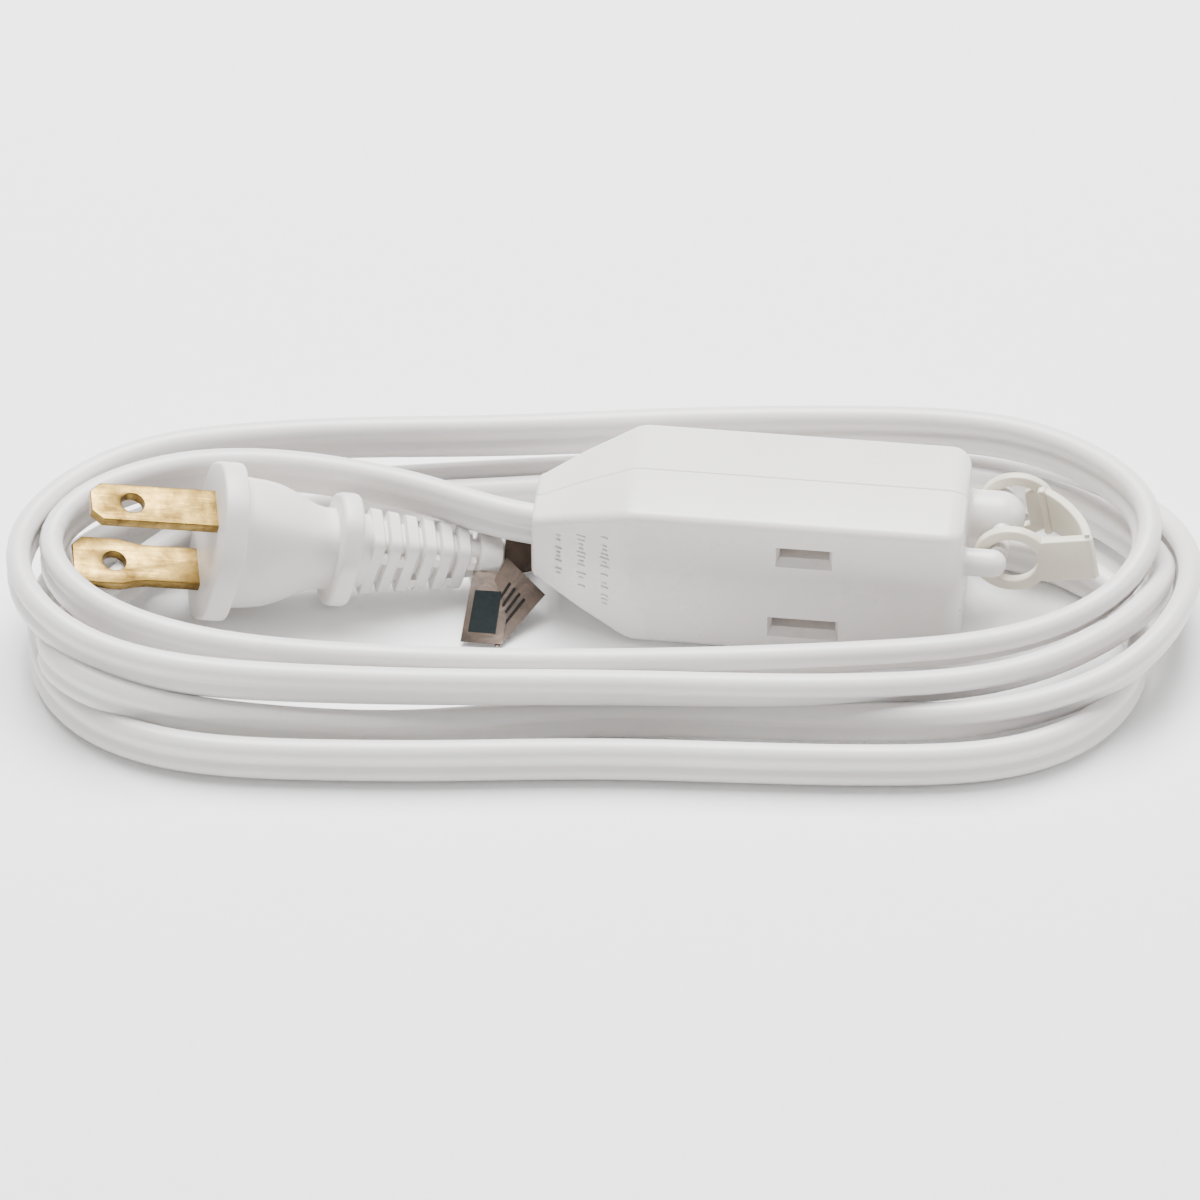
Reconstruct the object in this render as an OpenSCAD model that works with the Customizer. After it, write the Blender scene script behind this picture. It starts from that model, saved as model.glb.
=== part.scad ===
// Household extension cord, coiled for storage: a two-blade polarised plug, a flat
// two-core cord laid in four loose oval turns, and a three-outlet cube tap with a
// swinging hang strap.  Millimetres, +Z up, the cord turns and the tap rest on z = 0.
// The origin lies under the middle of the tap and its strap.

/* [Cube tap] */
// Length of the straight block that holds the outlets
block_l = 45.4; // [44:0.2:48]
// Depth of the block, front face to back face
block_w = 19.8; // [19.4:0.2:21]
// Height of the block
block_h = 23.2; // [22.8:0.2:25]
// Length of the tapered nose where the cord enters
nose_l = 13.8; // [12:0.2:16]
// Depth of the nose at its tip
nose_w = 10.6; // [9:0.2:12]
// Height of the nose at its tip
nose_h = 11; // [10:0.2:12]
// Wall thickness of the two shells
wall = 2; // [1.6:0.1:2.2]
// Rounding of the long edges
edge_r = 1.2; // [0.6:0.1:2]
// Rounding of the corners at the strap end
corner_r = 2.7; // [1:0.1:3.5]

/* [Outlets] */
// Distance between the two slots of an outlet
slot_gap = 12.7; // [12.7:0.1:12.7]
// Length of the narrow, live slot
slot_live_l = 6.8; // [6.6:0.1:7]
// Length of the wide, neutral slot
slot_neutral_l = 8.8; // [8.4:0.1:9]
// Height of both slots
slot_t = 2; // [1.9:0.1:2.2]
// Distance of the two rear outlets to each side of the front one
rear_stagger = 12.5; // [12:0.1:13]

/* [Hang strap] */
// Height of the ribbon
strap_h = 7; // [6:0.1:7.4]
// Thickness of the ribbon
strap_t = 1.2; // [1:0.1:1.4]
// Outside diameter of the two eyes
eye_d = 10.6; // [10:0.1:11]
// Bore of the two eyes
eye_bore = 7.3; // [6.6:0.1:7.4]
// Diameter of the pivot pin
pivot_d = 2.6; // [2.2:0.1:2.8]

/* [Plug] */
// Length of the blades in front of the plug's face
blade_l = 17.5; // [16:0.1:18]
// Width of the live blade
blade_w = 6.3; // [6.3:0.05:6.4]
// Width of the neutral blade's tip, which keeps the plug the right way round
blade_wide = 7.9; // [7.8:0.05:8]
// Thickness of the blades
blade_t = 1.5; // [1.4:0.05:1.6]
// Diameter of the hole near each blade's tip
blade_hole = 3.2; // [3:0.1:3.2]
// Height of the plug's finger flange
flange_h = 26; // [24:0.5:27]
// Depth of the plug's finger flange
flange_w = 18; // [17:0.5:19]

/* [Cord] */
// Width of the flat cord, across both cores
cord_w = 6.4; // [6.2:0.1:6.6]
// Thickness of the flat cord
cord_t = 3.3; // [3.1:0.1:3.4]
// Height of the stack of stored turns
coil_h = 16; // [15:0.5:17]
// How far the stored turns lie askew of the tap, in degrees
coil_turn = 6.3; // [6:0.1:6.6]

/* [Hidden] */
$fn = 40;
tap_x0 = -38.8;                         // tip of the nose
block_x0 = tap_x0 + nose_l;             // where the nose meets the block
block_x1 = block_x0 + block_l;          // end face with the strap lugs
mid_z = block_h / 2;                    // height of the tap's centre line
half_w = block_w / 2;
outlet_x = (block_x0 + block_x1) / 2 + 1.3;
live_z = mid_z + slot_gap / 2;
neutral_z = mid_z - slot_gap / 2;
// x positions of the rear outlets
rear_xs = [outlet_x - rear_stagger, outlet_x + rear_stagger];
// depth of the bevelled recess round each slot
recess_d = 0.6;
recess_rim = 0.6;

// contacts and rails inside the tap
clip_w = 6;                             // along x
clip_l = 14;                            // along y
clip_t = 0.6;
clip_gap = 1.4;                         // room between the two leaves
rail_t = 0.8;
rail_w = 4;
core_r = 1.55;                          // insulated core of the cord
copper_r = 0.8;                         // bundle of bare strands

// lugs on the end face
pivot_x = block_x1 + 4.6;
pivot_z = mid_z + 3.4;
lug_d = 3.8;
lug_l = 5.8;
lug_y = -5;
dome_d = 7.1;
dome_l = 7.7;
dome_y = 4.7;
pivot_y1 = half_w - 0.1;

// strap, measured from the pivot, before it is tipped up to its rest angle
strap_rest = 10;
eye_t = 1.5;                            // front eye; the rear one is as thin as the ribbon
eye_dx = 1.5;
eye_dz = -1.6;
front_y = -2.1;
back_y = 9.1;
arm_dz = -2.2;                          // middle of the ribbon below the pivot
fold_x = 12.2;
// plan of the rear arm, from the fold round to the rear eye
rear_arm = [[12.2, -2], [11.4, 0.6], [10.2, 3.2], [8.4, 5.8], [6.8, 7.8], [5.6, 8.9], [1.6, 9.1]];

// plug, in its own frame: +x to the blade tips, z across the two blades
plug_at = [-82.8, -10.2, 13.3];
plug_turn = [-10.5, -12.4, 194.9];
plug_l = 41;                            // face to the end of the strain relief
flange_t = 3.4;
neck_x = -22;                           // where the strain relief begins
hole_x = 11.7;
bridge_x0 = -9;
bridge_x1 = -2;
crimp_z = 5.2;                          // height of the crimps above and below the axis
crimp_x = bridge_x0 - 4.1;              // far end of the crimps
core_x = -17.1;                         // where the insulation of the two cores ends

// the stored turns, in a frame turned with them: ends and edges of the oval
coil_u = [-111.3, 52.3];
coil_v = [-37.3, 25];
hole_u = [-102.8, 43.6];
hole_v = [-20.6, 17.3];

// route of the cord from the nose to the stored turns
lead_route = [
    [-38.8, 0, 11.6], [-43, 0, 11.8], [-48, 1.2, 12.4], [-55, 2.8, 13.3],
    [-63, 3.6, 14], [-71, 3.8, 14.8], [-79, 3.5, 15], [-86, 2.4, 15],
    [-92, 0, 15], [-97.2, -3, 14.8], [-102, -7, 14.2], [-104.4, -12, 13.2]
];
// route of the cord from the plug, round behind the tap, to the stored turns
tail_route = [
    [-44, 0.1, 4.5], [-42, 1.4, 3.8], [-40.3, 4.2, 3.3], [-38.6, 7.4, 3.3],
    [-35.4, 10.3, 3.3], [-30, 11.8, 3.3], [-22, 12.3, 3.3], [-12, 12.3, 3.3],
    [-2, 12.3, 3.3], [8, 12.3, 3.3], [18, 12.2, 3.3], [26, 11.4, 3.3],
    [32.5, 9.2, 3.3], [38, 6.2, 3.3], [42, 2, 3.3], [44.5, -3, 3.3]
];

// ---------------------------------------------------------------- helpers

// points of a rectangle with rounded corners, centred, as one outline
function round_rect(w, h, r, n = 5) = [
    for (c = [0:3])
        let (sx = (c == 0 || c == 3) ? 1 : -1, sy = c < 2 ? 1 : -1)
        for (i = [0:n])
            [sx * (w / 2 - r) + r * cos(90 * c + 90 * i / n),
             sy * (h / 2 - r) + r * sin(90 * c + 90 * i / n)]
];

// unit direction of a route at point i
function ahead(p, i) =
    let (d = p[min(i + 1, len(p) - 1)] - p[max(i - 1, 0)])
    d / norm(d);

// one flat-cord section, standing on edge across the route at point i
function cord_ring(p, i) =
    let (d = ahead(p, i), flat = norm([d.x, d.y]), side = [-d.y / flat, d.x / flat, 0])
    [for (s = [[1, 1], [-1, 1], [-2, 0.55], [-2, -0.55], [-1, -1], [1, -1], [2, -0.55], [2, 0.55]])
        p[i] + side * (cord_t / 4 * s[0]) + [0, 0, cord_w / 2 * s[1]]];

// skin over a list of rings that all have the same number of points
module skin(rings) {
    n = len(rings[0]);
    last = len(rings) - 1;
    points = [for (r = rings, q = r) q];
    faces = concat(
        [[for (j = [n - 1:-1:0]) j]],
        [[for (j = [0:n - 1]) last * n + j]],
        [for (i = [0:last - 1], j = [0:n - 1])
            [i * n + j, i * n + (j + 1) % n, (i + 1) * n + (j + 1) % n, (i + 1) * n + j]]
    );
    polyhedron(points = points, faces = faces, convexity = 6);
}

// flat cord along a route
module cord_tube(route) skin([for (i = [0:len(route) - 1]) cord_ring(route, i)]);

// solid whose section at each station [x, depth, height, corner] is a rounded rectangle
module loft(stations) skin([
    for (s = stations)
        [for (q = round_rect(s[1], s[2], s[3], 4)) [s[0], q[0], q[1]]]
]);

// straight round bar between two points
module bar(a, b, r) {
    d = b - a;
    translate(a)
        rotate([0, acos(d.z / norm(d)), atan2(d.y, d.x)])
            cylinder(r = r, h = norm(d));
}

// oval slab with round ends, as wide as v and as long as u
module oval(u, v) {
    r = (v[1] - v[0]) / 2;
    translate([u[0] + r, v[0]]) square([u[1] - u[0] - 2 * r, 2 * r]);
    for (x = [u[0] + r, u[1] - r]) translate([x, v[0] + r]) circle(r = r, $fn = 96);
}

// ---------------------------------------------------------------- cube tap

// outline of the tap seen from above, grown outwards by g
module plan(g) {
    x1 = block_x1 + g;
    w = half_w + g;
    n = nose_w / 2 + g;
    r = corner_r + g;
    polygon(concat(
        [[tap_x0 - g, n], [tap_x0 - g, -n], [block_x0, -w]],
        [for (i = [0:6]) [x1 - r + r * cos(-90 + 15 * i), -w + r + r * sin(-90 + 15 * i)]],
        [for (i = [0:6]) [x1 - r + r * cos(15 * i), w - r + r * sin(15 * i)]],
        [[block_x0, w]]
    ));
}

// outline of the tap seen from the front, grown outwards by g
module profile(g) {
    h = nose_h / 2 + g;
    polygon([
        [tap_x0 - g, mid_z + h], [block_x0, block_h + g], [block_x1 + g, block_h + g],
        [block_x1 + g, -g], [block_x0, -g], [tap_x0 - g, mid_z - h]
    ]);
}

// the tap as one solid, grown outwards by g
module tap_solid(g) {
    intersection() {
        translate([0, 0, -g]) linear_extrude(block_h + 2 * g) plan(g);
        translate([0, half_w + g, 0]) rotate([90, 0, 0])
            linear_extrude(block_w + 2 * g) profile(g);
        translate([tap_x0 - g, 0, mid_z]) rotate([90, 0, 90])
            linear_extrude(nose_l + block_l + 2 * g)
                polygon(round_rect(block_w + 2 * g, block_h + 2 * g, edge_r));
    }
}

// room for the contacts and the cord's cores inside both shells
module tap_room() {
    translate([block_x0 + 1, -half_w + wall, wall])
        cube([block_l - 1 - wall - 1, block_w - 2 * wall, block_h - 2 * wall]);
    translate([tap_x0 + 5, -2.6, mid_z - 3.6]) cube([nose_l, 5.2, 7.2]);
    for (dz = [-core_r, core_r])
        translate([tap_x0 - 1, 0, mid_z + dz]) rotate([0, 90, 0])
            cylinder(r = cord_t / 2, h = nose_l);
}

// one slot with its bevelled recess, cut inwards along +y from y = 0
module slot(length) {
    translate([-length / 2, -1, -slot_t / 2]) cube([length, wall + 2, slot_t]);
    translate([-length / 2 - recess_rim, -1, -slot_t / 2 - recess_rim])
        cube([length + 2 * recess_rim, 1 + recess_d, slot_t + 2 * recess_rim]);
}

// both slots of one outlet on the front face
module outlet(x) {
    translate([x, -half_w, live_z]) slot(slot_live_l);
    translate([x, -half_w, neutral_z]) slot(slot_neutral_l);
}

module front_shell() {
    color("whitesmoke") {
        difference() {
            intersection() {
                tap_solid(0);
                translate([-100, -50, -50]) cube([200, 50, 100]);
            }
            tap_room();
            outlet(outlet_x);
        }
        translate([block_x1 - 0.5, lug_y, pivot_z]) rotate([0, 90, 0])
            cylinder(d = lug_d, h = lug_l - lug_d / 2 + 0.5);
        translate([block_x1 + lug_l - lug_d / 2, lug_y, pivot_z]) sphere(d = lug_d);
    }
}

module back_shell() {
    color("whitesmoke") {
        difference() {
            intersection() {
                tap_solid(0);
                translate([-100, 0, -50]) cube([200, 50, 100]);
            }
            tap_room();
            for (x = rear_xs) mirror([0, 1, 0]) outlet(x);
        }
        translate([block_x1 - 0.5, dome_y, pivot_z]) rotate([0, 90, 0])
            cylinder(d = dome_d, h = dome_l - dome_d / 2 + 0.5);
        translate([block_x1 + dome_l - dome_d / 2, dome_y, pivot_z]) sphere(d = dome_d);
        // pivot pin, from just inside the lug, through the dome, to the rear eye
        translate([pivot_x, pivot_y1, pivot_z]) rotate([90, 0, 0])
            cylinder(d = pivot_d, h = pivot_y1 - (lug_y + lug_d / 2));
    }
}

// sprung clip that grips one blade; its mouth faces -y, its rail side is +z
module clip(x, z, up) {
    s = clip_gap / 2;
    translate([x - clip_w / 2, -clip_l / 2, z]) {
        translate([0, 0, s]) cube([clip_w, clip_l, clip_t]);
        translate([0, 0, -s - clip_t]) cube([clip_w, clip_l, clip_t]);
        translate([0, clip_l - clip_t, -s - clip_t]) cube([clip_w, clip_t, clip_gap + 2 * clip_t]);
    }
    // tab up or down to the rail
    translate([x - 1.5, -rail_w / 2, z + (up ? s + clip_t : -s - clip_t - 0.5)])
        cube([3, rail_w, 0.5]);
}

module rear_clips(z, up) {
    for (x = rear_xs) mirror([0, 1, 0]) clip(x, z, up);
}

rail_step = clip_gap / 2 + clip_t + 0.5;

// flat rail that joins the three clips of one pole, with its crimp ears
module rail(z) {
    translate([block_x0 + 2, -rail_w / 2, z])
        cube([rear_xs[1] + clip_w / 2 - block_x0 - 2, rail_w, rail_t]);
}

module live_rail() color("goldenrod") rail(live_z + rail_step);
module neutral_rail() color("goldenrod") rail(neutral_z - rail_step - rail_t);
module front_live_clip() color("gold") clip(outlet_x, live_z, true);
module front_neutral_clip() color("gold") clip(outlet_x, neutral_z, false);
module rear_live_clips() color("gold") rear_clips(live_z, true);
module rear_neutral_clips() color("gold") rear_clips(neutral_z, false);

// insulated core from the nose to the tap's inside; side is 1 for live, -1 for neutral
module tap_core(side) {
    a = [tap_x0, 0, mid_z + side * core_r];
    b = [block_x0 - 1.2, 0, mid_z + side * core_r];
    bar(a, b, core_r);
}

// bare strands from a core to its rail
module tap_copper(side) {
    a = [block_x0 - 1.2, 0, mid_z + side * core_r];
    b = a + [2.6, 0, 0];
    c = [block_x0 + 4.5, 0, mid_z + side * (slot_gap / 2 + rail_step - copper_r)];
    bar(a, b, copper_r);
    bar(b, c, copper_r);
    bar(c, c + [2, 0, 0], copper_r);
}

module tap_live_core() color("white") tap_core(1);
module tap_neutral_core() color("white") tap_core(-1);
module tap_live_copper() color("peru") tap_copper(1);
module tap_neutral_copper() color("peru") tap_copper(-1);

// moulded block that grips the two cores just inside the nose
module cord_grip() {
    color("gainsboro")
    difference() {
        translate([tap_x0 + 5.4, -2.5, mid_z - 3.5]) cube([5, 5, 7]);
        for (dz = [-core_r, core_r])
            translate([tap_x0, 0, mid_z + dz]) rotate([0, 90, 0])
                cylinder(r = core_r + 0.02, h = nose_l);
    }
}

// ---------------------------------------------------------------- hang strap

// flat eye round the pivot, t thick, in the plane y
module eye(y, t) {
    translate([eye_dx, y + t / 2, eye_dz]) rotate([90, 0, 0])
        difference() {
            cylinder(d = eye_d, h = t);
            translate([0, 0, -1]) cylinder(d = eye_bore, h = t + 2);
        }
}

module hang_strap() {
    start_x = eye_dx + eye_bore / 2 + 0.6;
    color("ivory")
    translate([pivot_x, 0, pivot_z]) rotate([0, -strap_rest, 0]) {
        eye(front_y, eye_t);
        eye(back_y, strap_t);
        // straight front arm
        translate([start_x, front_y - strap_t / 2, arm_dz - strap_h / 2])
            cube([fold_x - start_x, strap_t, strap_h]);
        // bowed rear arm, one ribbon of short straight lengths
        translate([0, 0, arm_dz - strap_h / 2]) linear_extrude(strap_h)
            difference() {
                polygon(concat(
                    [for (i = [0:len(rear_arm) - 1]) rear_side(i, strap_t / 2)],
                    [for (i = [len(rear_arm) - 1:-1:0]) rear_side(i, -strap_t / 2)]
                ));
                translate([-10, 0]) square([10 + start_x, 20]);
            }
        // living hinge at the fold
        translate([fold_x, front_y, arm_dz - strap_h / 2]) cylinder(d = strap_t, h = strap_h);
    }
}

// a point of the rear arm moved sideways by d
function rear_side(i, d) =
    let (t = ahead(rear_arm, i))
    rear_arm[i] + d * [-t[1], t[0]];

// ---------------------------------------------------------------- plug

module place_plug() {
    translate(plug_at) rotate(plug_turn) children();
}

// elongated hexagon of the finger flange, seen along the blades
module flange_outline(w, h) {
    polygon([
        [w / 2, h * 0.2], [w * 0.2, h * 0.47], [0, h / 2], [-w * 0.2, h * 0.47], [-w / 2, h * 0.2],
        [-w / 2, -h * 0.2], [-w * 0.2, -h * 0.47], [0, -h / 2], [w * 0.2, -h * 0.47], [w / 2, -h * 0.2]
    ]);
}

// slab of the flange outline between two x positions
module flange_slab(x0, x1, w, h) {
    translate([x0, 0, 0]) rotate([90, 0, 90]) linear_extrude(x1 - x0) flange_outline(w, h);
}

// the plug's waisted body behind the flange: [x, depth, height, corner]
body_stations = [
    [-3, 13, 21, 5], [-5, 13.6, 20.6, 6], [-8, 13.4, 19.4, 6], [-11, 12, 17, 5.5],
    [-14, 10, 13.6, 4.6], [-16.2, 9, 12, 4.2], [neck_x + 2, 9, 12, 4.2]
];

// room for the bridge, the crimps and the cord's cores inside the moulding
module plug_room() {
    translate([bridge_x0, -3.5, -8]) cube([bridge_x1 - bridge_x0, 7, 16]);
    for (s = [-1, 1])
        translate([-3, -blade_w / 2, s * slot_gap / 2 - blade_t / 2]) cube([4, blade_w, blade_t]);
    // steps narrowing from the crimps to the cores: [start, end, half height]
    for (r = [[crimp_x - 0.2, bridge_x0 + 0.1, 6.7], [-14.4, crimp_x, 5.8], [core_x - 0.1, -14.3, 4.9]])
        translate([r[0], -1.7, -r[2]]) cube([r[1] - r[0], 3.4, 2 * r[2]]);
    for (dz = [-core_r, core_r])
        translate([-plug_l - 1, 0, dz]) rotate([0, 90, 0])
            cylinder(r = core_r + 0.02, h = plug_l + 1 + core_x);
}

module plug_body() {
    color("white") place_plug()
    difference() {
        union() {
            flange_slab(-flange_t, 0, flange_w, flange_h);
            loft(body_stations);
            flange_slab(neck_x + 1.6, neck_x + 4.4, 13, 18.5);
            loft([[neck_x + 2, 7.6, 11.4, 3.6], [neck_x, 7.6, 11.4, 3.6]]);
        }
        plug_room();
    }
}

// strain relief: a tapered sleeve with ribs, joined to the body at the neck
rib_count = 6;
relief_l = plug_l + neck_x;
rib_pitch = (relief_l - 4) / rib_count;
function relief_h(x) = 11.6 + (neck_x - x) * (6.4 + 0.8 - 11.6) / relief_l;
relief_stations = concat(
    [for (i = [0:rib_count - 1], k = [0:3])
        let (x = neck_x - i * rib_pitch - [0.02, 0.45, 0.55, 0.98][k] * rib_pitch,
             h = relief_h(x) - (k < 2 ? 0 : 2.2))
        [x, h * 0.5 + 1.6, h, 1.6]],
    [[-plug_l + 3.6, 4.8, 7.4, 1.8], [-plug_l, 4.6, 7, 1.8]]
);

module strain_relief() {
    color("white") place_plug()
    difference() {
        loft(relief_stations);
        plug_room();
    }
}

// hard inner moulding that holds the blades at their spacing
module blade_bridge() {
    color("lightgrey") place_plug()
    difference() {
        translate([bridge_x0 + 0.1, -3.4, -7.9])
            cube([bridge_x1 - bridge_x0 - 0.2, 6.8, 15.8]);
        for (s = [-1, 1])
            translate([bridge_x0 - 1, -blade_w / 2, s * slot_gap / 2 - blade_t / 2])
                cube([20, blade_w, blade_t]);
    }
}

// one blade from its crimp end to its chamfered tip, drilled near the tip
module blade(side, tip_w) {
    place_plug() translate([0, 0, side * slot_gap / 2 - blade_t / 2])
    difference() {
        linear_extrude(blade_t) polygon([
            [bridge_x0, -blade_w / 2], [0.4, -blade_w / 2], [blade_l - 10, -blade_w / 2],
            [blade_l - 7, -tip_w / 2], [blade_l - 1.6, -tip_w / 2], [blade_l, -tip_w / 2 + 1.6],
            [blade_l, tip_w / 2 - 1.6], [blade_l - 1.6, tip_w / 2], [blade_l - 7, tip_w / 2],
            [blade_l - 10, blade_w / 2], [0.4, blade_w / 2], [bridge_x0, blade_w / 2]
        ]);
        translate([hole_x, 0, -1]) cylinder(d = blade_hole, h = blade_t + 2);
    }
}

module live_blade() color("goldenrod") blade(1, blade_w);
module neutral_blade() color("goldenrod") blade(-1, blade_wide);

// crimp barrel behind a blade, round the bare strands
module crimp(side) {
    place_plug() translate([crimp_x, 0, side * crimp_z]) rotate([0, 90, 0])
    difference() {
        cylinder(r = 1.3, h = 4);
        translate([0, 0, -1]) cylinder(r = copper_r + 0.02, h = 6);
    }
}

module live_crimp() color("goldenrod") crimp(1);
module neutral_crimp() color("goldenrod") crimp(-1);

// bare strands from the end of the core into the crimp
module plug_copper(side) {
    bend = [crimp_x, 0, side * crimp_z];
    place_plug() {
        bar(bend + [3.6, 0, 0], bend, copper_r);
        bar(bend, [core_x + 0.4, 0, side * core_r], 0.55);
    }
}

module plug_live_copper() color("peru") plug_copper(1);
module plug_neutral_copper() color("peru") plug_copper(-1);

// insulated core inside the strain relief
module plug_core(side) {
    place_plug() bar([core_x, 0, side * core_r], [-plug_l, 0, side * core_r], core_r);
}

module plug_live_core() color("white") plug_core(1);
module plug_neutral_core() color("white") plug_core(-1);

// ---------------------------------------------------------------- cord

module cord_lead() color("white") cord_tube(lead_route);
module cord_tail() color("white") cord_tube(tail_route);

// outer shape of the stored turns
module cord_coil() {
    color("white")
    rotate([0, 0, coil_turn])
    difference() {
        linear_extrude(coil_h) oval(coil_u, coil_v);
        translate([0, 0, -1]) linear_extrude(coil_h + 2) oval(hole_u, hole_v);
    }
}

// film label folded round the cord beside the strain relief
module cord_label() {
    color("tan")
    translate([-41.9, -3.8, 5.6]) rotate([22, 0, -14])
        translate([-2.5, -14, 0]) cube([6, 14, 0.3]);
}

front_shell();
back_shell();
live_rail();
neutral_rail();
front_live_clip();
front_neutral_clip();
rear_live_clips();
rear_neutral_clips();
cord_grip();
tap_live_core();
tap_neutral_core();
tap_live_copper();
tap_neutral_copper();
hang_strap();
plug_body();
strain_relief();
blade_bridge();
live_blade();
neutral_blade();
live_crimp();
neutral_crimp();
plug_live_copper();
plug_neutral_copper();
plug_live_core();
plug_neutral_core();
cord_lead();
cord_tail();
cord_coil();
cord_label();
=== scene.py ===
# %% [markdown]
# # A household extension cord, coiled for storage
# The object is a white two-core flat cord with a two-blade plug on one end and an oblong tap with
# three outlets on the other.  A small strap swings at the end of the tap, so that it can hang on a
# nail.  The cord lies in four loose oval turns with the tap and the plug inside them.
#
# The CAD frame is loaded first.  It fixes every size and place, and the pieces below are fitted to
# it.  Lengths are written in millimetres and turned to Blender's metres when a mesh is made.

# %% Load the frame
import math
import random

import bmesh
import bpy
from mathutils import Euler, Matrix, Vector


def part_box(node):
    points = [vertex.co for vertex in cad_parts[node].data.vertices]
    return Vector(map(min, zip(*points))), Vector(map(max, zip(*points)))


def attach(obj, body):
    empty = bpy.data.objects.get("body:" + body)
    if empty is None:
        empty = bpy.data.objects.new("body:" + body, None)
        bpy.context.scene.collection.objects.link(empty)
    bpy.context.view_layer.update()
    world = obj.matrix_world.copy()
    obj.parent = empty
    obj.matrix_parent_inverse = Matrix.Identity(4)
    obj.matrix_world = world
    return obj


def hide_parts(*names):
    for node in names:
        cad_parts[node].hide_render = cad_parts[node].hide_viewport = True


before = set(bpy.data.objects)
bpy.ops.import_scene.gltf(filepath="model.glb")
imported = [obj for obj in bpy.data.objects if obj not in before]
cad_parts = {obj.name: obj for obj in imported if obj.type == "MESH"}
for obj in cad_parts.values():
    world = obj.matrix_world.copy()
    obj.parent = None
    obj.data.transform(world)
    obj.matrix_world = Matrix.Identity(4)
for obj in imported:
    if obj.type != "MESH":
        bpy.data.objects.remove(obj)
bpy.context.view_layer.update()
MM = 0.001
scene = bpy.context.scene

# %% [markdown]
# ## The camera
# A long lens far away keeps the perspective mild, as in a catalogue.  It looks down at 42
# degrees from a little right of straight ahead.  The place of the camera follows from the point it
# looks at, those two angles and the distance, and its focal length from the width it has to take in.

# %% Camera
LOOK_AT = Vector((-28.6, -11.6, 9.0)) * MM
AZIMUTH = math.radians(6.3)
ELEVATION = math.radians(42)
DISTANCE = 1.2
VIEW_WIDTH = 0.1635

camera_data = bpy.data.cameras.new("camera")
camera_data.lens = camera_data.sensor_width * DISTANCE / VIEW_WIDTH
camera = bpy.data.objects.new("camera", camera_data)
away = Vector((
    math.sin(AZIMUTH) * math.cos(ELEVATION), -math.cos(AZIMUTH) * math.cos(ELEVATION), math.sin(ELEVATION),
))
camera.location = LOOK_AT + DISTANCE * away
camera.rotation_euler = (math.pi / 2 - ELEVATION, 0, AZIMUTH)
scene.collection.objects.link(camera)
scene.camera = camera
print("focal length, mm:", round(camera_data.lens, 1))

# %% [markdown]
# ## Shapes
# Three small tools make almost every piece here.  `skin` stretches a surface over a row of closed
# outlines, `lathe` turns a profile about an axis, and `flat_part` stamps a sheet with rounded edges
# out of outlines, as a press does.  Each gives a plain mesh in millimetres.

# %% Shapes
def skin(rings):
    """A mesh over a row of closed outlines that all have the same number of points."""
    mesh = bmesh.new()
    rows = [[mesh.verts.new(p) for p in ring] for ring in rings]
    count = len(rings[0])
    for a, b in zip(rows, rows[1:]):
        for i in range(count):
            j = (i + 1) % count
            mesh.faces.new((a[i], a[j], b[j], b[i]))
    mesh.faces.new(rows[0][::-1])
    mesh.faces.new(rows[-1])
    bmesh.ops.recalc_face_normals(mesh, faces=mesh.faces)
    return mesh


def lathe(profile, steps):
    """A solid of revolution about the x axis, from (x, radius) pairs."""
    rings = []
    for x, radius in profile:
        rings.append([
            (x, radius * math.cos(2 * math.pi * k / steps), radius * math.sin(2 * math.pi * k / steps))
            for k in range(steps)
        ])
    return skin(rings)


def flat_part(outlines, thickness, edge):
    """A sheet in the xy plane, centred on z = 0, cut to the outlines, with its edges rounded by edge."""
    curve = bpy.data.curves.new("stamping", "CURVE")
    curve.dimensions = "2D"
    curve.fill_mode = "BOTH"
    curve.extrude = thickness / 2 - edge
    curve.bevel_depth = edge
    curve.bevel_resolution = 2
    curve.offset = -edge
    for outline in outlines:
        spline = curve.splines.new("POLY")
        spline.points.add(len(outline) - 1)
        for point, (x, y) in zip(spline.points, outline):
            point.co = (x, y, 0, 1)
        spline.use_cyclic_u = True
    stamp = bpy.data.objects.new("stamping", curve)
    scene.collection.objects.link(stamp)
    flat = bpy.data.meshes.new_from_object(stamp.evaluated_get(bpy.context.evaluated_depsgraph_get()))
    mesh = bmesh.new()
    mesh.from_mesh(flat)
    bmesh.ops.remove_doubles(mesh, verts=mesh.verts, dist=0.002)
    bmesh.ops.recalc_face_normals(mesh, faces=mesh.faces)
    bpy.data.objects.remove(stamp)
    bpy.data.curves.remove(curve)
    bpy.data.meshes.remove(flat)
    return mesh


# %% [markdown]
# ## Joining and cutting
# `join` puts several meshes in one object and turns millimetres into metres.  `cut` takes the shapes
# of other meshes out of an object, and `block` is the plain box that most of those cuts need.

# %% Joining and cutting
def moved(mesh, matrix):
    """The same mesh after a move or turn."""
    bmesh.ops.transform(mesh, matrix=matrix, verts=mesh.verts)
    return mesh


def join(name, meshes, place=Matrix(), sharp=32):
    """One object from meshes in millimetres, with edges sharper than that many degrees kept crisp."""
    data = bpy.data.meshes.new(name)
    whole = bmesh.new()
    for mesh in meshes:
        part = bpy.data.meshes.new("part")
        mesh.to_mesh(part)
        whole.from_mesh(part)
        mesh.free()
        bpy.data.meshes.remove(part)
    bmesh.ops.scale(whole, vec=(MM, MM, MM), verts=whole.verts)
    whole.to_mesh(data)
    whole.free()
    data.polygons.foreach_set("use_smooth", [True] * len(data.polygons))
    data.set_sharp_from_angle(angle=math.radians(sharp))
    piece = bpy.data.objects.new(name, data)
    piece.matrix_world = place
    scene.collection.objects.link(piece)
    return piece


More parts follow.
